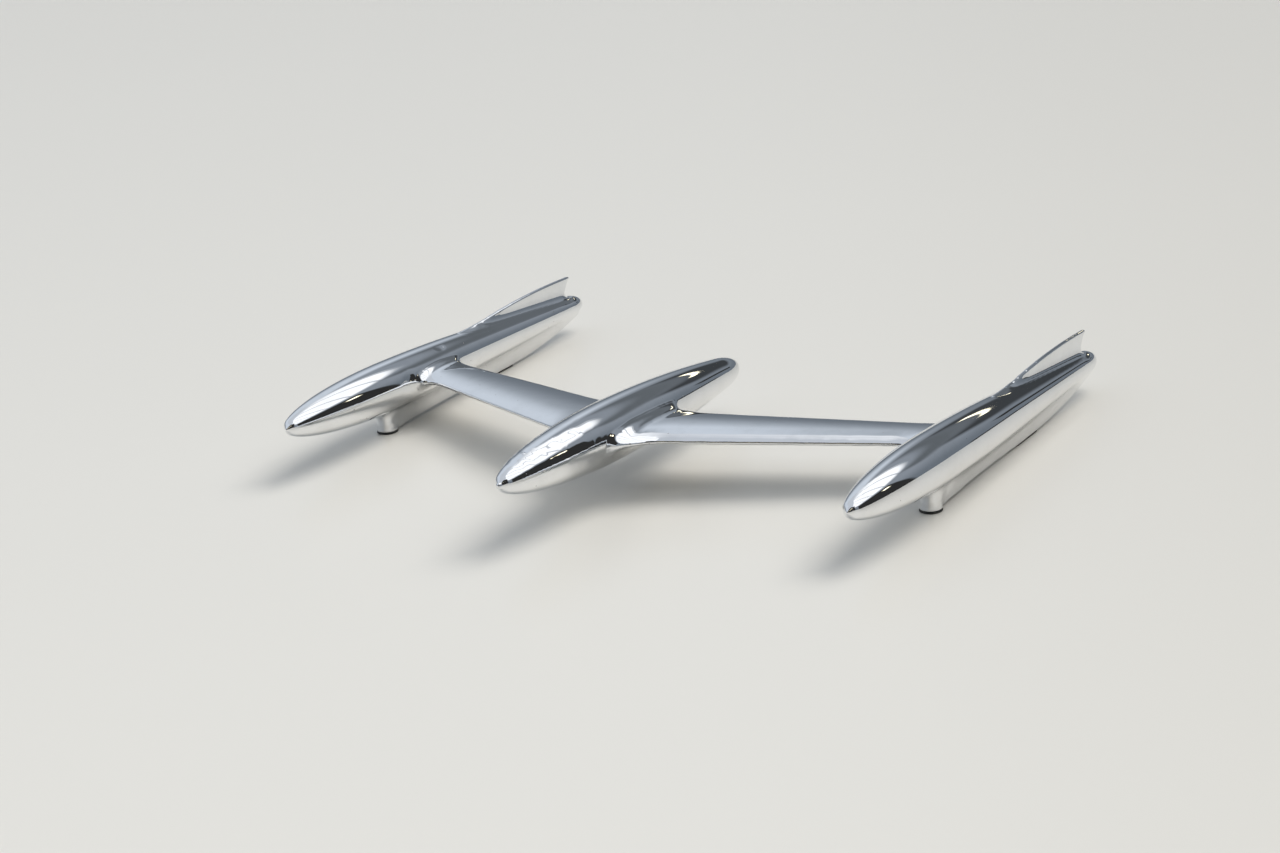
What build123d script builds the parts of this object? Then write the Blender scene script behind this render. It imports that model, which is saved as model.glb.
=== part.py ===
"""Triple-jet bonnet ornament: three die-cast jets on a swept wing, bolted to a bonnet.

Millimetres. X is the car's left, Y is rearward, Z is up from the bonnet.
The origin is on the seat, midway between the two stud posts.
"""
import os
from math import asin, cos, degrees, radians, sin, tan

from build123d import *

# Stance of the whole ornament
jet_spacing = 420.0
nose_up_angle = 2.8
axis_height_at_post = 32.1
post_setback = 107.0

# Pull of a curve's handles that makes a quarter turn follow an ellipse
round_off_pull = 0.55

# Side jets, measured along their axis from the nose
jet_length = 350.0
jet_radius = 17.7
jet_nose_run = 108.0
jet_straight_run = 140.0
jet_tail_run = 16.0
jet_taper_angle = 2.9

# Centre jet
centre_length = 281.0
centre_radius = 20.0
centre_nose_run = 118.0
centre_straight_run = 15.0
centre_tail_run = 24.0
centre_taper_angle = 6.4
centre_lead = 52.0
centre_rise = 4.8

# Wing, from the centre line out to the axes of the side jets
wing_root_setback = 44.5
wing_root_chord = 66.0
wing_tip_setback = 139.5
wing_tip_chord = 37.0
wing_root_crown = 6.2
wing_tip_crown = 5.2
wing_front_sink = 0.8
wing_rear_climb = 2.2
wing_crest_share = 0.48
wing_crest_pull = 0.38
wing_front_radius = 2.2
wing_front_slope = 18.5
wing_rear_radius = 1.9
wing_rear_slope = 5.5
centre_stub_reach = 44.0
side_stub_reach = 36.0
centre_root_flare = 48.0
side_root_flare = 24.0
flare_tail_share = 0.4
root_flare_steps = 4
centre_root_fillet = 8.0
side_root_fillet = 6.0

# Back fin of a side jet
fin_thickness = 3.2
fin_start = 183.0
fin_root_depth = 2.1
fin_sweep_up_radius = 440.0
fin_sweep_up_angle = 6.8
fin_crest_radius = 700.0
fin_tip_setback = 338.5
fin_heel_setback = 324.0
fin_tip_fillet = 2.0
fin_edge_fillet = 1.2

# Post and keel of a side jet
post_radius = 7.25
keel_front_half_width = 4.6
keel_rear_half_width = 1.6
keel_arch_height = 1.4
toe_front = 118.0
toe_rear = 150.0
keel_tail_rise = 12.3
keel_tail_sag = 3.2
keel_tail_margin = 8.0
keel_draft_angle = 10.0
post_draft_angle = 2.0

# Seating pieces
gasket_thickness = 1.2
gasket_overhang = 0.2
gasket_hole_clearance = 0.15
toe_pad_width = 5.0
stud_radius = 3.175
stud_drop = 24.0
stud_end_chamfer = 0.8
shank_radius = 2.6
shank_depth_in_post = 12.0
shank_fit = 0.05

os.makedirs("parts", exist_ok=True)

half_spacing = jet_spacing / 2
side_seam = half_spacing - side_stub_reach
tilt = radians(nose_up_angle)
nose_y = -post_setback * cos(tilt) + axis_height_at_post * sin(tilt)
nose_z = post_setback * sin(tilt) + axis_height_at_post * cos(tilt)

# Sketches on this plane have x rearward along the jets, y across them upward, and +X as normal
axis_plane = Plane(
    origin=(0, nose_y, nose_z),
    x_dir=(0, cos(tilt), -sin(tilt)),
    z_dir=(1, 0, 0),
)


def axis_z(y):
    """Height above the seat of the side jets' axes at a distance rearward of the posts."""
    return nose_z - (y - nose_y) * tan(tilt)


def jet_plane(across, lead, rise):
    """Plane of a jet's side view, with its origin at the nose."""
    plane = axis_plane.offset(across)
    return plane.shift_origin(plane.from_local_coords((-lead, rise, 0)))


def jet_profile(plane, length, radius, nose_run, straight_run, tail_run, taper_angle):
    """Upper half of a jet: elliptical nose, long shoulder arc, straight taper, rounded tail."""
    shoulder_radius = (length - nose_run - straight_run - tail_run) / sin(radians(taper_angle))
    with BuildSketch(plane) as profile:
        with BuildLine():
            nose = EllipticalCenterArc((nose_run, 0), nose_run, radius, start_angle=90, arc_size=90)
            shoulder = JernArc((nose_run, radius), (1, 0), shoulder_radius, -taper_angle)
            taper = PolarLine(shoulder @ 1, straight_run, -taper_angle)
            tail_end = Vector(length, 0)
            Bezier(
                taper @ 1,
                taper @ 1 + (taper % 1) * tail_run * round_off_pull,
                tail_end + Vector(0, (taper @ 1).Y * round_off_pull),
                tail_end,
            )
            Line(tail_end, nose @ 1)
        make_face()
    return profile.sketch


def wing_section(across):
    """Section of the wing at a distance from the centre line, longer near the jets."""
    share = abs(across) / half_spacing
    centre_nearness = max(0, 1 - abs(across) / centre_stub_reach)
    side_nearness = max(0, 1 - (half_spacing - abs(across)) / side_stub_reach)
    flare = centre_root_flare * centre_nearness**2 + side_root_flare * side_nearness**2
    front = wing_root_setback + (wing_tip_setback - wing_root_setback) * share - flare
    chord = wing_root_chord + (wing_tip_chord - wing_root_chord) * share
    chord += flare * (1 + flare_tail_share)
    crown = wing_root_crown + (wing_tip_crown - wing_root_crown) * share
    level = centre_rise * (1 - share) - wing_front_sink
    with BuildSketch(axis_plane.offset(across)) as section:
        with BuildLine():
            front_edge = CenterArc(
                (front + wing_front_radius, level),
                wing_front_radius,
                90 + wing_front_slope,
                180 - wing_front_slope,
            )
            rear_edge = CenterArc(
                (front + chord - wing_rear_radius, level + wing_rear_climb),
                wing_rear_radius,
                -90,
                180 - wing_rear_slope,
            )
            crest = Vector(front + chord * wing_crest_share, level + crown)
            for edge_end, reach in (
                (front_edge @ 0, Vector(1, tan(radians(wing_front_slope)))),
                (rear_edge @ 1, Vector(-1, tan(radians(wing_rear_slope)))),
            ):
                pull = abs(crest.X - edge_end.X) * wing_crest_pull
                Bezier(
                    edge_end,
                    edge_end + reach * pull,
                    crest - Vector(reach.X * pull, 0),
                    crest,
                )
            Line(rear_edge @ 0, front_edge @ 1)
        make_face()
    return section.sketch.face()


# Centre jet, cast with a stub of each wing
centre_plane = jet_plane(0, centre_lead, centre_rise)
with BuildPart() as centre_jet:
    revolve(
        jet_profile(
            centre_plane,
            centre_length,
            centre_radius,
            centre_nose_run,
            centre_straight_run,
            centre_tail_run,
            centre_taper_angle,
        ),
        axis=Axis(centre_plane.origin, centre_plane.x_dir),
    )
    for side in (1, -1):
        reach_step = side * centre_stub_reach / root_flare_steps
        loft([wing_section(step * reach_step) for step in range(root_flare_steps + 1)])
        fillet(centre_jet.edges(Select.NEW), radius=centre_root_fillet)
centre_jet.part.label = "centre_jet"
export_step(centre_jet.part, "parts/centre_jet.step")

# Wing panels, butted between the stubs
for side, name in ((1, "wing_left"), (-1, "wing_right")):
    with BuildPart() as wing:
        loft([wing_section(side * centre_stub_reach), wing_section(side * side_seam)], ruled=True)
    wing.part.label = name
    export_step(wing.part, f"parts/{name}.step")

# Back fin, thin with a rounded edge, swept up out of the jet's back
left_plane = jet_plane(half_spacing, 0, 0)
fin_crest_setback = (
    fin_start + (fin_sweep_up_radius + fin_crest_radius) * sin(radians(fin_sweep_up_angle))
)
fin_droop_angle = degrees(asin((fin_tip_setback - fin_crest_setback) / fin_crest_radius))
with BuildPart() as fin:
    with BuildSketch(left_plane) as fin_side:
        with BuildLine():
            sweep_up = JernArc(
                (fin_start, jet_radius - fin_root_depth),
                (1, 0),
                fin_sweep_up_radius,
                fin_sweep_up_angle,
            )
            crest = JernArc(
                sweep_up @ 1,
                sweep_up % 1,
                fin_crest_radius,
                -fin_sweep_up_angle - fin_droop_angle,
            )
            Polyline(crest @ 1, (fin_heel_setback, 0), (fin_start, 0), sweep_up @ 0)
        make_face()
        fillet(fin_side.vertices().sort_by(Axis.Y)[-1], radius=fin_tip_fillet)
    extrude(amount=fin_thickness / 2, both=True)
    fillet(fin.faces().filter_by(Axis.X).edges(), radius=fin_edge_fillet)

# Keel and post, the plan of one cut by the outline of the other
foot_z = gasket_thickness
tail_y = nose_y + jet_length * cos(tilt) - keel_tail_margin
keel_tail_z = foot_z + keel_tail_rise
with BuildPart() as keel:
    with BuildSketch(Plane.XY):
        with Locations((half_spacing, 0)):
            Circle(keel_front_half_width)
        with Locations((half_spacing, tail_y - keel_rear_half_width)):
            Circle(keel_rear_half_width)
        make_hull()
    extrude(amount=nose_z, taper=-keel_draft_angle)
    with BuildSketch(Plane.XY):
        with Locations((half_spacing, 0)):
            Circle(post_radius)
    extrude(amount=nose_z, taper=-post_draft_angle)
    with BuildSketch(Plane.YZ.offset(half_spacing)):
        with BuildLine():
            foot = Line((-post_radius, foot_z), (post_radius, foot_z))
            arch_middle = (post_radius + toe_front) / 2
            ThreePointArc(foot @ 1, (arch_middle, foot_z + keel_arch_height), (toe_front, foot_z))
            toe = Line((toe_front, foot_z), (toe_rear, foot_z))
            rise_middle = ((toe_rear + tail_y) / 2, (foot_z + keel_tail_z) / 2 - keel_tail_sag)
            rise = ThreePointArc(toe @ 1, rise_middle, (tail_y, keel_tail_z))
            Polyline(
                rise @ 1,
                (tail_y, axis_z(tail_y)),
                (-post_radius, axis_z(-post_radius)),
                foot @ 0,
            )
        make_face()
    extrude(amount=post_radius, both=True, mode=Mode.INTERSECT)

# Left jet, cast with its wing stub, back fin, keel and post
post_foot = Plane(origin=(half_spacing, 0, foot_z), x_dir=(1, 0, 0), z_dir=(0, 0, -1))
with BuildPart() as jet_left:
    revolve(
        jet_profile(
            left_plane,
            jet_length,
            jet_radius,
            jet_nose_run,
            jet_straight_run,
            jet_tail_run,
            jet_taper_angle,
        ),
        axis=Axis(left_plane.origin, left_plane.x_dir),
    )
    add(keel.part)
    reach_step = side_stub_reach / root_flare_steps
    loft([wing_section(half_spacing - step * reach_step) for step in range(root_flare_steps + 1)])
    fillet(jet_left.edges(Select.NEW), radius=side_root_fillet)
    add(fin.part)
    with Locations(post_foot):
        Hole(radius=shank_radius + shank_fit, depth=shank_depth_in_post)
jet_left.part.label = "jet_left"
export_step(jet_left.part, "parts/jet_left.step")

# Right jet, the other hand of the left one
with BuildPart() as jet_right:
    mirror(jet_left.part, about=Plane.YZ)
jet_right.part.label = "jet_right"
export_step(jet_right.part, "parts/jet_right.step")

# Pieces between each side jet and the bonnet
for side, hand in ((1, "left"), (-1, "right")):
    with BuildPart() as post_gasket:
        with BuildSketch(Plane.XY):
            with Locations((side * half_spacing, 0)):
                Circle(post_radius + gasket_overhang)
                Circle(stud_radius + gasket_hole_clearance, mode=Mode.SUBTRACT)
        extrude(amount=gasket_thickness)
    post_gasket.part.label = f"post_gasket_{hand}"
    export_step(post_gasket.part, f"parts/post_gasket_{hand}.step")

    with BuildPart() as toe_pad:
        with BuildSketch(Plane.XY):
            with Locations((side * half_spacing, (toe_front + toe_rear) / 2)):
                SlotOverall(toe_rear - toe_front, toe_pad_width, rotation=90)
        extrude(amount=gasket_thickness)
    toe_pad.part.label = f"toe_pad_{hand}"
    export_step(toe_pad.part, f"parts/toe_pad_{hand}.step")

    with BuildPart() as stud:
        with BuildSketch(Plane.XY.offset(-stud_drop)):
            with Locations((side * half_spacing, 0)):
                Circle(stud_radius)
        extrude(amount=stud_drop)
        chamfer(stud.edges().group_by(Axis.Z)[0], length=stud_end_chamfer)
        with BuildSketch(Plane.XY):
            with Locations((side * half_spacing, 0)):
                Circle(shank_radius)
        extrude(amount=foot_z + shank_depth_in_post)
    stud.part.label = f"stud_{hand}"
    export_step(stud.part, f"parts/stud_{hand}.step")
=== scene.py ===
import math

import bmesh
import bpy
import numpy as np
from mathutils import Matrix, Vector
from mathutils.bvhtree import BVHTree


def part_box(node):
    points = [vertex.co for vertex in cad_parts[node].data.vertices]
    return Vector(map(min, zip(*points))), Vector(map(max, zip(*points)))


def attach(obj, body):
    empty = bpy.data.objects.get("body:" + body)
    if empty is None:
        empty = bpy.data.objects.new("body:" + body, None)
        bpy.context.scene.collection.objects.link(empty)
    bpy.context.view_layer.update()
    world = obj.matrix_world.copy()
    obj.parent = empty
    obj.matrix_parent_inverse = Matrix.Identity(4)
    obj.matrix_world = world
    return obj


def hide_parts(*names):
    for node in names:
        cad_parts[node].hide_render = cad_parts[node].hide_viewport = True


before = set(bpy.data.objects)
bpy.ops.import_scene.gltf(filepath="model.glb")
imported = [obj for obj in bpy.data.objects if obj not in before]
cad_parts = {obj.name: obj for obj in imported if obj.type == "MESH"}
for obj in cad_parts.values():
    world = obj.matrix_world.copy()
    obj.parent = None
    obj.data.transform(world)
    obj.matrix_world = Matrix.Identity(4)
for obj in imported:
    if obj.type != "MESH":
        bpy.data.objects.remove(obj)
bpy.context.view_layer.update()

# The camera
# It looks down across the noses from the ornament's left, level with the photograph's horizon.
# The long lens keeps the three jets nearly parallel.
camera_place = Vector((0.9394, -1.38285, 0.6207))
camera_right = Vector((0.84071, 0.53506, -0.08302))
camera_up = Vector((-0.11376, 0.32445, 0.93903))
camera_back = Vector((0.52939, -0.78002, 0.33364))

camera_data = bpy.data.cameras.new("camera")
camera_data.sensor_width = 36.0
camera_data.lens = 76.8
camera = bpy.data.objects.new("camera", camera_data)
camera.matrix_world = Matrix((
    (camera_right.x, camera_up.x, camera_back.x, camera_place.x),
    (camera_right.y, camera_up.y, camera_back.y, camera_place.y),
    (camera_right.z, camera_up.z, camera_back.z, camera_place.z),
    (0, 0, 0, 1),
))
bpy.context.scene.collection.objects.link(camera)
bpy.context.scene.camera = camera

# The bright castings: three jets and two wing panels
# Zinc die castings, ground and buffed, then plated with copper, nickel and chrome.
# Buffing softens every edge and root, so the skin is meshed evenly and worked smooth.
weld_gap = 1e-6
cut_gap = 1e-7
grain_size = 0.00075
first_passes = 3
face_passes = 20
edge_passes = 3
edge_turn = math.radians(14)
root_turn = math.radians(-3.2)
root_rings = (10, 7, 4)
root_passes = 30
wing_low = 0.018
wing_high = 0.043
front_roots = (Vector((0.020, -0.063, 0.043)), Vector((0.190, 0.011, 0.036)))
front_root_reaches = (0.014, 0.012, 0.010, 0.008, 0.006)
front_root_passes = 30
wing_start = 0.030
wing_end = 0.186
wing_insets = (0, 0.004, 0.008)
wing_passes = 9
keel_blend_passes = 260
keel_blend_front = 0.012
keel_blend_back = 0.236
keel_blend_half_width = 0.02
keel_blend_share = 0.5

jet_spacing = 0.42
jet_tilt = math.radians(2.8)
side_nose = Vector((jet_spacing / 2, -0.1053, 0.0373))
centre_nose = Vector((0, -0.15698, 0.04462))
side_length = 0.350
centre_length = 0.281
widest_turning = 0.021
plain_share = 0.87
fairing_run = 0.005
fairing_steps = 20
blend_held = 0.00003
blend_free = 0.00035
nose_clear = 0.012
nose_fade = 0.015
tail_clear = 0.022
tail_fade = 0.012
least_radius = 1e-9

casting_names = ("centre_jet", "wing_left", "wing_right", "jet_left", "jet_right")
rough_skin = bmesh.new()
for name in casting_names:
    rough_skin.from_mesh(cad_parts[name].data)
bmesh.ops.remove_doubles(rough_skin, verts=rough_skin.verts, dist=weld_gap)
rough_mesh = bpy.data.meshes.new("rough_castings")
rough_skin.to_mesh(rough_mesh)
cast_surface = BVHTree.FromBMesh(rough_skin)
rough_skin.free()
rough_castings = bpy.data.objects.new("rough_castings", rough_mesh)
bpy.context.scene.collection.objects.link(rough_castings)
even_grain = rough_castings.modifiers.new("even_grain", "REMESH")
even_grain.mode = "VOXEL"
even_grain.voxel_size = grain_size
skin_mesh = bpy.data.meshes.new_from_object(
    rough_castings.evaluated_get(bpy.context.evaluated_depsgraph_get())
)
bpy.data.objects.remove(rough_castings)

buffed = bmesh.new()
buffed.from_mesh(skin_mesh)


def buff(points, passes):
    """Work some of the skin's points smooth."""
    for _ in range(passes):
        bmesh.ops.smooth_vert(
            buffed, verts=points, factor=0.5, use_axis_x=True, use_axis_y=True, use_axis_z=True
        )


def with_neighbours(points, rings):
    """The points and those within so many rings round them."""
    patch = set(points)
    for _ in range(rings):
        patch |= {edge.other_vert(point) for point in patch for edge in point.link_edges}
    return patch


def skin_places():
    """Where the skin's points are now."""
    buffed.to_mesh(skin_mesh)
    places = np.empty(3 * len(skin_mesh.vertices))
    skin_mesh.vertices.foreach_get("co", places)
    return places.reshape(-1, 3)


def turned_points(points, start):
    """Each point's distance along a jet's axis, and its offset from the axis."""
    along = np.array((0, math.cos(jet_tilt), -math.sin(jet_tilt)))
    from_nose = points - np.array(start)
    run = from_nose @ along
    return run, from_nose - run[:, None] * along


def fair(points, start, length, free_way):
    """Bring a turned body back to true, from the shape of its plain side."""
    run, offset = turned_points(points, start)
    radius = np.linalg.norm(offset, axis=1)
    plain = offset @ np.array(free_way) > plain_share * radius
    plain &= radius < widest_turning
    plain &= (run > 0) & (run < length)
    slot = (run[plain] / grain_size).astype(int)
    count = np.bincount(slot)
    filled = count > 0
    place = np.bincount(slot, run[plain])[filled] / count[filled]
    square = np.bincount(slot, radius[plain] ** 2)[filled] / count[filled]
    steps = np.arange(-fairing_steps, fairing_steps + 1) * grain_size
    weight = np.exp(-0.5 * (steps / fairing_run) ** 2)
    even = sum(
        share * np.interp(place + step, place, square) for share, step in zip(weight, steps)
    ) / weight.sum()
    error = radius - np.sqrt(np.interp(run, place, even))
    hold = np.clip((blend_free - np.abs(error)) / (blend_free - blend_held), 0, 1)
    hold = hold * hold * (3 - 2 * hold)
    hold *= np.clip((run - nose_clear) / nose_fade, 0, 1)
    hold *= np.clip((length - tail_clear - run) / tail_fade, 0, 1)
    points -= offset * (hold * error / np.maximum(radius, least_radius))[:, None]


# The edges are found and set back on the castings, so that buffing leaves them crisp.
buff(buffed.verts, first_passes)
edge_points = set()
for edge in buffed.edges:
    if edge.calc_face_angle_signed(0.0) > edge_turn:
        edge_points.update(edge.verts)
edges = with_neighbours(edge_points, 1)
for point in edges:
    point.co = cast_surface.find_nearest(point.co)[0]
buff([point for point in buffed.verts if point not in edges], face_passes)
buff(list(edges), edge_passes)

# The hollow roots are opened out, and the wing's edges run softly into them.
root_points = set()
for edge in buffed.edges:
    if edge.calc_face_angle_signed(0.0) < root_turn:
        root_points.update(edge.verts)
patches = [with_neighbours(root_points, rings) for rings in root_rings]
edges = {
    point for point in edges if point not in patches[1] or not wing_low < point.co.z < wing_high
}
for patch in patches:
    buff(list(patch - edges), root_passes)

# The wing's front roots, the wing panels and the keels' flanks are worked further.
buffed.verts.ensure_lookup_table()
places = skin_places()
folded = places.copy()
folded[:, 0] = np.abs(folded[:, 0])
distance = np.min(
    [np.linalg.norm(folded - np.array(spot), axis=1) for spot in front_roots], axis=0
)
for reach in front_root_reaches:
    near = np.flatnonzero(distance < reach).tolist()
    buff([buffed.verts[number] for number in near], front_root_passes)
for inset in wing_insets:
    panel = (folded[:, 0] > wing_start + inset) & (folded[:, 0] < wing_end - inset)
    panel = [buffed.verts[number] for number in np.flatnonzero(panel).tolist()]
    buff([point for point in panel if point not in edges], wing_passes)

under_jet = []
for way in (1, -1):
    run, offset = turned_points(places, side_nose * Vector((way, 1, 1)))
    below = -offset[:, 2] > keel_blend_share * np.linalg.norm(offset, axis=1)
    below &= np.abs(offset[:, 0]) < keel_blend_half_width
    below &= (places[:, 1] > keel_blend_front) & (places[:, 1] < keel_blend_back)
    under_jet += np.flatnonzero(below).tolist()
buff(
    [buffed.verts[number] for number in under_jet if buffed.verts[number] not in edges],
    keel_blend_passes,
)

# Last, the three turned bodies are brought back to true.
places = skin_places()
fair(places, centre_nose, centre_length, (0, math.sin(jet_tilt), math.cos(jet_tilt)))
for way in (1, -1):
    fair(places, side_nose * Vector((way, 1, 1)), side_length, (way, 0, 0))
skin_mesh.vertices.foreach_set("co", places.ravel())
skin_mesh.update()
buffed.free()

clean_plate = (0.86, 0.87, 0.885)
filmed_plate = (0.80, 0.81, 0.82)
pit_colour = (0.22, 0.20, 0.18)
plate_roughness = 0.012
film_roughness = 0.045
pit_roughness = 0.4
wave_scale = 20.0
wave_stretch = (1, 0.5, 1)
peel_scale = 300.0
polish_scale = 900.0
polish_stretch = (1, 0.02, 1)
film_scale = 38.0
pit_scale = 150.0
pit_patch_scale = 21.0
wave_depth = 0.00006
peel_depth = 0.0000002
polish_depth = 0.0000004
pit_depth = 0.00006
film_cover = (0.42, 0.75)
pit_rim = (0.045, 0.075)
pit_cover = (0.54, 0.60)


def wire(tree, value, socket):
    """Set a socket, or link it where the value comes from another node."""
    if isinstance(value, bpy.types.NodeSocket):
        tree.links.new(value, socket)
    else:
        socket.default_value = value


def pattern(tree, kind, scale, stretch=(1, 1, 1), **settings):
    """A texture node on the piece's own coordinates, with its pattern stretched."""
    place = tree.nodes.new("ShaderNodeTexCoord")
    mapping = tree.nodes.new("ShaderNodeMapping")
    mapping.inputs["Scale"].default_value = stretch
    tree.links.new(place.outputs["Object"], mapping.inputs["Vector"])
    texture = tree.nodes.new(kind)
    texture.inputs["Scale"].default_value = scale
    for key, value in settings.items():
        texture.inputs[key].default_value = value
    tree.links.new(mapping.outputs[0], texture.inputs["Vector"])
    return texture.outputs[0]


def spread(tree, value, low, high, to_low, to_high):
    """Map a value smoothly from one range to another."""
    node = tree.nodes.new("ShaderNodeMapRange")
    node.interpolation_type = "SMOOTHSTEP"
    for slot, item in enumerate((value, low, high, to_low, to_high)):
        wire(tree, item, node.inputs[slot])
    return node.outputs[0]


def combine(tree, operation, *values):
    """A math node on numbers or sockets."""
    node = tree.nodes.new("ShaderNodeMath")
    node.operation = operation
    for slot, value in enumerate(values):
        wire(tree, value, node.inputs[slot])
    return node.outputs[0]


def blend(tree, share, first, second):
    """A colour between two colours."""
    node = tree.nodes.new("ShaderNodeMix")
    node.data_type = "RGBA"
    wire(tree, share, node.inputs["Factor"])
    for slot, colour in ((6, first), (7, second)):
        linked = isinstance(colour, bpy.types.NodeSocket)
        wire(tree, colour if linked else (*colour, 1), node.inputs[slot])
    return node.outputs[2]


def relief(tree, height, depth, below=None):
    """Raise the surface by a height pattern, over another relief if there is one."""
    bump = tree.nodes.new("ShaderNodeBump")
    bump.inputs["Distance"].default_value = depth
    tree.links.new(height, bump.inputs["Height"])
    if below is not None:
        tree.links.new(below, bump.inputs["Normal"])
    return bump.outputs[0]


chrome = bpy.data.materials.new("chrome_plate")
chrome.use_nodes = True
tree = chrome.node_tree
plate = tree.nodes["Principled BSDF"]
plate.inputs["Metallic"].default_value = 1.0
buffing_waves = pattern(tree, "ShaderNodeTexNoise", wave_scale, wave_stretch, Detail=1.0)
orange_peel = pattern(tree, "ShaderNodeTexNoise", peel_scale, Detail=2.0)
polish_lines = pattern(tree, "ShaderNodeTexNoise", polish_scale, polish_stretch, Detail=3.0)
wiped_film = pattern(tree, "ShaderNodeTexNoise", film_scale, Detail=8.0, Roughness=0.65)
pit_cells = pattern(tree, "ShaderNodeTexVoronoi", pit_scale)
pit_patches = pattern(tree, "ShaderNodeTexNoise", pit_patch_scale, Detail=2.0)
pits = combine(
    tree,
    "MULTIPLY",
    spread(tree, pit_cells, *pit_rim, 1.0, 0.0),
    spread(tree, pit_patches, *pit_cover, 0.0, 1.0),
)
film = spread(tree, wiped_film, *film_cover, 0.0, 1.0)
plate_colour = blend(tree, film, clean_plate, filmed_plate)
tree.links.new(blend(tree, pits, plate_colour, pit_colour), plate.inputs["Base Color"])
haze = combine(tree, "ADD", combine(tree, "MULTIPLY", film, film_roughness), plate_roughness)
haze = combine(tree, "ADD", haze, combine(tree, "MULTIPLY", pits, pit_roughness))
tree.links.new(haze, plate.inputs["Roughness"])
surface = relief(tree, buffing_waves, wave_depth)
surface = relief(tree, orange_peel, peel_depth, surface)
surface = relief(tree, polish_lines, polish_depth, surface)
surface = relief(tree, combine(tree, "SUBTRACT", 1.0, pits), pit_depth, surface)
tree.links.new(surface, plate.inputs["Normal"])

# The skin is cut at the butt joints, which show as fine seams.
centre_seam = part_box("centre_jet")[1].x
side_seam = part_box("jet_left")[0].x
spans = {
    "centre_jet": (-centre_seam, centre_seam),
    "wing_left": (centre_seam, side_seam),
    "wing_right": (-side_seam, -centre_seam),
    "jet_left": (side_seam, None),
    "jet_right": (None, -side_seam),
}
for name, (inner, outer) in spans.items():
    casting = bmesh.new()
    casting.from_mesh(skin_mesh)
    for seam, side in ((inner, -1), (outer, 1)):
        if seam is not None:
            cut = bmesh.ops.bisect_plane(
                casting,
                geom=casting.verts[:] + casting.edges[:] + casting.faces[:],
                dist=cut_gap,
                plane_co=(seam, 0, 0),
                plane_no=(side, 0, 0),
                clear_outer=True,
            )
            rim = [item for item in cut["geom_cut"] if isinstance(item, bmesh.types.BMEdge)]
            bmesh.ops.holes_fill(casting, edges=rim, sides=0)
            for edge in rim:
                edge.smooth = False
    mesh = bpy.data.meshes.new(name + "_casting")
    casting.to_mesh(mesh)
    casting.free()
    piece = bpy.data.objects.new(name + "_casting", mesh)
    bpy.context.scene.collection.objects.link(piece)
    for face in mesh.polygons:
        face.use_smooth = True
    mesh.materials.append(chrome)
    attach(piece, "root")
    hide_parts(name)

# The washers under the posts
# Black rubber, cut from sheet and squeezed by the stud, so the outer edge swells a little.
# One lies under each post and keeps the metal off the surface below.
stud_hole_radius = 0.003325
swell_share = 0.46
swell_segments = 8
washer_steps = 128
clean_rubber = (0.018, 0.018, 0.018)
dusty_rubber = (0.07, 0.067, 0.06)
dust_scale = 260.0
dust_cover = (0.45, 0.7)
rubber_roughness = (0.5, 0.85)
rubber_grain_scale = 2200.0
rubber_grain_depth = 0.00003
rubber_corner = math.radians(40)

rubber = bpy.data.materials.new("black_rubber")
rubber.use_nodes = True
tree = rubber.node_tree
skin = tree.nodes["Principled BSDF"]
dust = pattern(tree, "ShaderNodeTexNoise", dust_scale, Detail=6.0)
dust = spread(tree, dust, *dust_cover, 0.0, 1.0)
tree.links.new(blend(tree, dust, clean_rubber, dusty_rubber), skin.inputs["Base Color"])
tree.links.new(spread(tree, dust, 0.0, 1.0, *rubber_roughness), skin.inputs["Roughness"])
rubber_grain = pattern(tree, "ShaderNodeTexNoise", rubber_grain_scale, Detail=3.0)
tree.links.new(relief(tree, rubber_grain, rubber_grain_depth), skin.inputs["Normal"])

for hand in ("left", "right"):
    low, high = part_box(f"post_gasket_{hand}")
    middle = (low + high) / 2
    outer_radius = (high.x - low.x) / 2
    thickness = high.z - low.z
    washer = bmesh.new()
    bmesh.ops.create_grid(washer, x_segments=1, y_segments=1, size=0.5)
    bmesh.ops.rotate(washer, verts=washer.verts, matrix=Matrix.Rotation(math.pi / 2, 3, "X"))
    width = outer_radius - stud_hole_radius
    bmesh.ops.scale(washer, verts=washer.verts, vec=(width, 1, thickness))
    bmesh.ops.translate(washer, verts=washer.verts, vec=(stud_hole_radius + width / 2, 0, 0))
    bmesh.ops.bevel(
        washer,
        geom=[vert for vert in washer.verts if vert.co.x > outer_radius - weld_gap],
        offset=thickness * swell_share,
        segments=swell_segments,
        profile=0.5,
        affect="VERTICES",
        material=-1,
    )
    bmesh.ops.delete(washer, geom=washer.faces[:], context="FACES_ONLY")
    bmesh.ops.spin(
        washer,
        geom=washer.verts[:] + washer.edges[:],
        cent=(0, 0, 0),
        axis=(0, 0, 1),
        angle=2 * math.pi,
        steps=washer_steps,
        use_merge=True,
    )
    bmesh.ops.translate(washer, verts=washer.verts, vec=middle)
    bmesh.ops.recalc_face_normals(washer, faces=washer.faces)
    mesh = bpy.data.meshes.new(f"post_washer_{hand}")
    washer.to_mesh(mesh)
    washer.free()
    piece = bpy.data.objects.new(f"post_washer_{hand}", mesh)
    bpy.context.scene.collection.objects.link(piece)
    mesh.shade_smooth()
    mesh.set_sharp_from_angle(angle=rubber_corner)
    mesh.materials.append(rubber)
    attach(piece, "root")
    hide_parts(f"post_gasket_{hand}")

# The pads under the keels' toes
# Strips with round ends, one under the flat toe of each keel.
# They are cut from the same rubber sheet as the washers, and their edges are worn round.
pad_edge_round = 0.0004
pad_edge_segments = 4
pad_end_segments = 64

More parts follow.
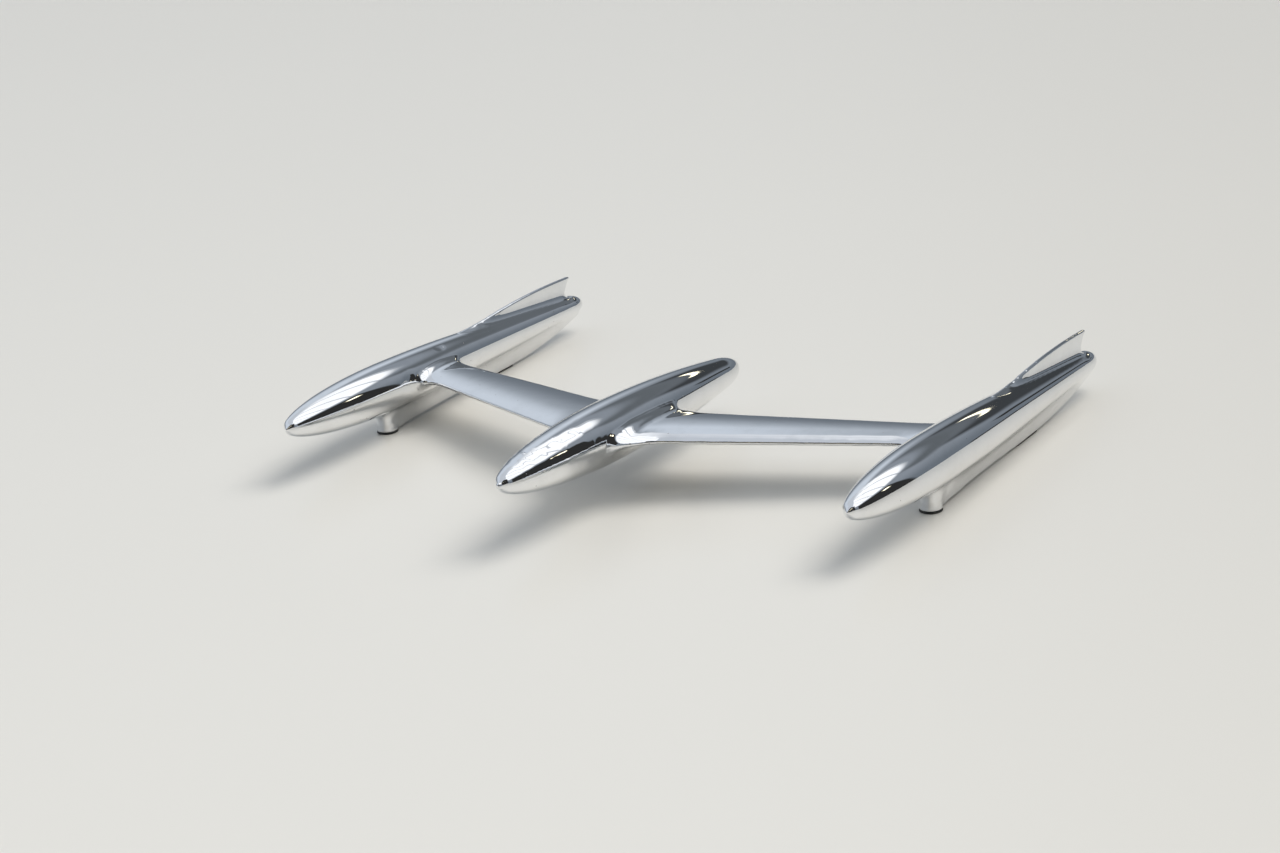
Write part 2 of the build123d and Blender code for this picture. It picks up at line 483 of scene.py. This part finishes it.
for hand in ("left", "right"):
    low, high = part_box(f"toe_pad_{hand}")
    middle = (low + high) / 2
    end_radius = (high.x - low.x) / 2
    end_shift = (high.y - low.y) / 2 - end_radius
    pad = bmesh.new()
    bmesh.ops.create_circle(pad, segments=pad_end_segments, radius=end_radius, cap_ends=True)
    for direction in (1, -1):
        end = [vert for vert in pad.verts if vert.co.y * direction > weld_gap]
        bmesh.ops.translate(pad, verts=end, vec=(0, direction * end_shift, 0))
    top = bmesh.ops.extrude_face_region(pad, geom=pad.faces[:])
    bmesh.ops.translate(
        pad,
        verts=[item for item in top["geom"] if isinstance(item, bmesh.types.BMVert)],
        vec=(0, 0, high.z - low.z),
    )
    bmesh.ops.translate(pad, verts=pad.verts, vec=(middle.x, middle.y, low.z))
    bmesh.ops.recalc_face_normals(pad, faces=pad.faces)
    rims = [edge for edge in pad.edges if abs(edge.verts[0].co.z - edge.verts[1].co.z) < weld_gap]
    bmesh.ops.bevel(
        pad,
        geom=rims,
        offset=pad_edge_round,
        segments=pad_edge_segments,
        profile=0.5,
        affect="EDGES",
        material=-1,
    )
    mesh = bpy.data.meshes.new(f"toe_strip_{hand}")
    pad.to_mesh(mesh)
    pad.free()
    piece = bpy.data.objects.new(f"toe_strip_{hand}", mesh)
    bpy.context.scene.collection.objects.link(piece)
    mesh.shade_smooth()
    mesh.set_sharp_from_angle(angle=rubber_corner)
    mesh.materials.append(rubber)
    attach(piece, "root")
    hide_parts(f"toe_pad_{hand}")

# The studs
# Quarter-inch steel studs with a rolled coarse thread, zinc plated.
# Their plain shanks are fixed in the posts, and a nut below pulls the whole ornament down.
thread_pitch = 0.00127
thread_depth = 0.00078
flank_share = 0.375
crest_share = 0.125
steps_in_turn = 48
stud_chamfer = 0.0008
shank_radius = 0.0026
shank_segments = 64
clear_zinc = (0.50, 0.51, 0.50)
yellow_zinc = (0.60, 0.56, 0.45)
tint_scale = 420.0
tint_cover = (0.35, 0.65)
zinc_roughness = (0.28, 0.46)
zinc_grain_scale = 3000.0
zinc_grain_depth = 0.00001
thread_corner = math.radians(30)

steel = bpy.data.materials.new("zinc_plated_steel")
steel.use_nodes = True
tree = steel.node_tree
coat = tree.nodes["Principled BSDF"]
coat.inputs["Metallic"].default_value = 1.0
tint = pattern(tree, "ShaderNodeTexNoise", tint_scale, Detail=4.0)
tint = spread(tree, tint, *tint_cover, 0.0, 1.0)
tree.links.new(blend(tree, tint, clear_zinc, yellow_zinc), coat.inputs["Base Color"])
tree.links.new(spread(tree, tint, 0.0, 1.0, *zinc_roughness), coat.inputs["Roughness"])
steel_grain = pattern(tree, "ShaderNodeTexNoise", zinc_grain_scale, Detail=2.0)
tree.links.new(relief(tree, steel_grain, zinc_grain_depth), coat.inputs["Normal"])

for hand in ("left", "right"):
    low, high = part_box(f"stud_{hand}")
    middle = (low + high) / 2
    crest_radius = (high.x - low.x) / 2
    root_radius = crest_radius - thread_depth
    turns = math.ceil(-low.z / thread_pitch) + 2
    stud = bmesh.new()
    level = low.z - thread_pitch
    tooth = []
    for radius, climb in (
        (root_radius, 0),
        (root_radius, crest_share),
        (crest_radius, crest_share + flank_share),
        (crest_radius, 2 * crest_share + flank_share),
        (root_radius, 1),
    ):
        tooth.append(stud.verts.new((radius, 0, level + climb * thread_pitch)))
    for first, second in zip(tooth, tooth[1:]):
        stud.edges.new((first, second))
    bmesh.ops.spin(
        stud,
        geom=stud.verts[:] + stud.edges[:],
        cent=(0, 0, 0),
        axis=(0, 0, 1),
        dvec=(0, 0, thread_pitch / steps_in_turn),
        angle=2 * math.pi * turns,
        steps=steps_in_turn * turns,
    )
    bmesh.ops.remove_doubles(stud, verts=stud.verts, dist=weld_gap)
    for height, side in ((0.0, 1), (low.z, -1)):
        cut = bmesh.ops.bisect_plane(
            stud,
            geom=stud.verts[:] + stud.edges[:] + stud.faces[:],
            dist=cut_gap,
            plane_co=(0, 0, height),
            plane_no=(0, 0, side),
            clear_outer=True,
        )
        rim = [item for item in cut["geom_cut"] if isinstance(item, bmesh.types.BMEdge)]
        bmesh.ops.holes_fill(stud, edges=rim, sides=0)
    for vert in stud.verts:
        most = crest_radius - max(0, stud_chamfer - (vert.co.z - low.z))
        across = vert.co.xy.length
        if across > most:
            vert.co.xy *= most / across
    shank = bmesh.ops.create_cone(
        stud,
        cap_ends=True,
        segments=shank_segments,
        radius1=shank_radius,
        radius2=shank_radius,
        depth=high.z,
    )
    bmesh.ops.translate(stud, verts=shank["verts"], vec=(0, 0, high.z / 2))
    bmesh.ops.translate(stud, verts=stud.verts, vec=(middle.x, middle.y, 0))
    bmesh.ops.recalc_face_normals(stud, faces=stud.faces)
    mesh = bpy.data.meshes.new(f"threaded_stud_{hand}")
    stud.to_mesh(mesh)
    stud.free()
    piece = bpy.data.objects.new(f"threaded_stud_{hand}", mesh)
    bpy.context.scene.collection.objects.link(piece)
    mesh.shade_smooth()
    mesh.set_sharp_from_angle(angle=thread_corner)
    mesh.materials.append(steel)
    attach(piece, "root")
    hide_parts(f"stud_{hand}")

# The floor
# A plain sheet in warm white satin paint, on which the whole ornament stands.
# It runs far past the picture's edges, so no border of it shows.
floor_reach = 30.0
floor_colour = (0.70, 0.682, 0.632)
floor_roughness = 0.3

floor_mesh = bpy.data.meshes.new("floor")
sheet = bmesh.new()
bmesh.ops.create_grid(sheet, x_segments=1, y_segments=1, size=floor_reach)
sheet.to_mesh(floor_mesh)
sheet.free()
floor = bpy.data.objects.new("floor", floor_mesh)
bpy.context.scene.collection.objects.link(floor)
floor_paint = bpy.data.materials.new("floor_paint")
floor_paint.use_nodes = True
tree = floor_paint.node_tree
paint = tree.nodes["Principled BSDF"]
paint.inputs["Base Color"].default_value = (*floor_colour, 1)
paint.inputs["Roughness"].default_value = floor_roughness
floor_mesh.materials.append(floor_paint)

# The studio light
# One broad soft light, high on the right and behind, lights the whole floor evenly.
# The boarded ceiling of the studio itself takes its place in the bright metal.
light_spread = math.radians(38)
light_strength = 1.88
light_colour = (1.0, 0.965, 0.92)
light_from = Vector((0.9, 1.5, 2.5))

soft_light = bpy.data.lights.new("soft_light", "SUN")
soft_light.angle = light_spread
soft_light.energy = light_strength
soft_light.color = light_colour
lamp = bpy.data.objects.new("soft_light", soft_light)
lamp.rotation_euler = light_from.to_track_quat("Z", "Y").to_euler()
lamp.visible_glossy = False
bpy.context.scene.collection.objects.link(lamp)

# The studio round it
# Bright metal shows nothing but its surroundings: a pale boarded ceiling, blue-grey walls,
# dark openings between them, and a few warm strip lamps.
facing_turn = math.radians(34.2)
wall_foot = (0.16, 0.185, 0.215)
wall_head = (0.64, 0.70, 0.78)
far_wall_head = (0.27, 0.30, 0.34)
band_colour = (0.05, 0.055, 0.06)
grey_band_colour = (0.13, 0.145, 0.16)
opening_colour = (0.03, 0.03, 0.03)
dim_ceiling = (0.58, 0.62, 0.68)
bright_ceiling = (1.20, 1.22, 1.25)
joint_colour = (0.62, 0.65, 0.70)
strip_colour = (2.6, 2.4, 1.8)
side_change = (2.0, 12.0)
wall_rise = (4.0, 28.0)
ceiling_change = (-8.0, 26.0)
board_shift = (15.0, 0.21)
board_length = 60.0
board_width = 0.30
board_joint = 0.020
joint_softness = 0.3
flattest_sight = 0.05
ceiling_edge = 2.0
ceiling_foot = 46.0
ceiling_fall = 0.17
lowest_foot = 33.0

world = bpy.data.worlds.new("studio")
bpy.context.scene.world = world
world.use_nodes = True
tree = world.node_tree


def between(value, low, high, edge):
    """One where the value lies between two limits, with edges this soft."""
    rise = spread(tree, value, low - edge, low + edge, 0.0, 1.0)
    return combine(tree, "MULTIPLY", rise, spread(tree, value, high - edge, high + edge, 1.0, 0.0))


sight = tree.nodes.new("ShaderNodeTexCoord")
turned = tree.nodes.new("ShaderNodeVectorRotate")
turned.rotation_type = "Z_AXIS"
turned.inputs["Angle"].default_value = -facing_turn
tree.links.new(sight.outputs["Generated"], turned.inputs["Vector"])
sides = tree.nodes.new("ShaderNodeSeparateXYZ")
tree.links.new(turned.outputs[0], sides.inputs[0])
height = combine(tree, "MULTIPLY", combine(tree, "ARCSINE", sides.outputs["Z"]), 180 / math.pi)
bearing = combine(tree, "ARCTAN2", sides.outputs["X"], sides.outputs["Y"])
bearing = combine(tree, "MULTIPLY", bearing, 180 / math.pi)

near_side = spread(tree, bearing, *side_change, 0.0, 1.0)
head = blend(tree, near_side, wall_head, far_wall_head)
look = blend(tree, spread(tree, height, *wall_rise, 0.0, 1.0), wall_foot, head)

over = combine(tree, "MAXIMUM", sides.outputs["Z"], flattest_sight)
plan = tree.nodes.new("ShaderNodeCombineXYZ")
for slot, (side, shift) in enumerate(zip("XY", board_shift)):
    across = combine(tree, "DIVIDE", sides.outputs[side], over)
    wire(tree, combine(tree, "ADD", across, shift), plan.inputs[slot])
brightening = spread(tree, bearing, *ceiling_change, 0.0, 1.0)
ceiling = blend(tree, brightening, dim_ceiling, bright_ceiling)
boards = tree.nodes.new("ShaderNodeTexBrick")
boards.offset = 0.5
boards.inputs["Scale"].default_value = 1.0
boards.inputs["Mortar Size"].default_value = board_joint
boards.inputs["Mortar Smooth"].default_value = joint_softness
boards.inputs["Brick Width"].default_value = board_length
boards.inputs["Row Height"].default_value = board_width
tree.links.new(plan.outputs[0], boards.inputs["Vector"])
ceiling = blend(tree, boards.outputs["Fac"], ceiling, joint_colour)
foot = combine(tree, "SUBTRACT", ceiling_foot, combine(tree, "MULTIPLY", bearing, ceiling_fall))
foot = combine(tree, "MINIMUM", combine(tree, "MAXIMUM", foot, lowest_foot), ceiling_foot)
over_foot = combine(tree, "SUBTRACT", height, foot)
above = spread(tree, over_foot, -ceiling_edge, ceiling_edge, 0.0, 1.0)
look = blend(tree, above, look, ceiling)

# Each band, opening and lamp: its bearings, its heights, how soft its edge is, its colour.
for left, right, low, high, edge, colour in (
    (13, 62, 26, 34, 3.0, grey_band_colour),
    (14, 52, 17, 26, 3.0, band_colour),
    (22, 38, 23.9, 24.9, 0.3, strip_colour),
    (50, 57, 9, 12, 0.6, opening_colour),
    (57, 64, -2, 2, 0.6, opening_colour),
    (76, 126, -3, 29, 0.8, opening_colour),
    (79, 83, 22, 25, 0.5, strip_colour),
    (156, 182, -3, 50, 0.8, opening_colour),
    (-182, -140, -3, 50, 0.8, opening_colour),
    (-176, -150, 30, 32, 0.5, strip_colour),
):
    window = combine(
        tree, "MULTIPLY", between(bearing, left, right, edge), between(height, low, high, edge)
    )
    look = blend(tree, window, look, colour)
tree.links.new(look, tree.nodes["Background"].inputs["Color"])

bpy.context.scene.view_settings.view_transform = "Standard"
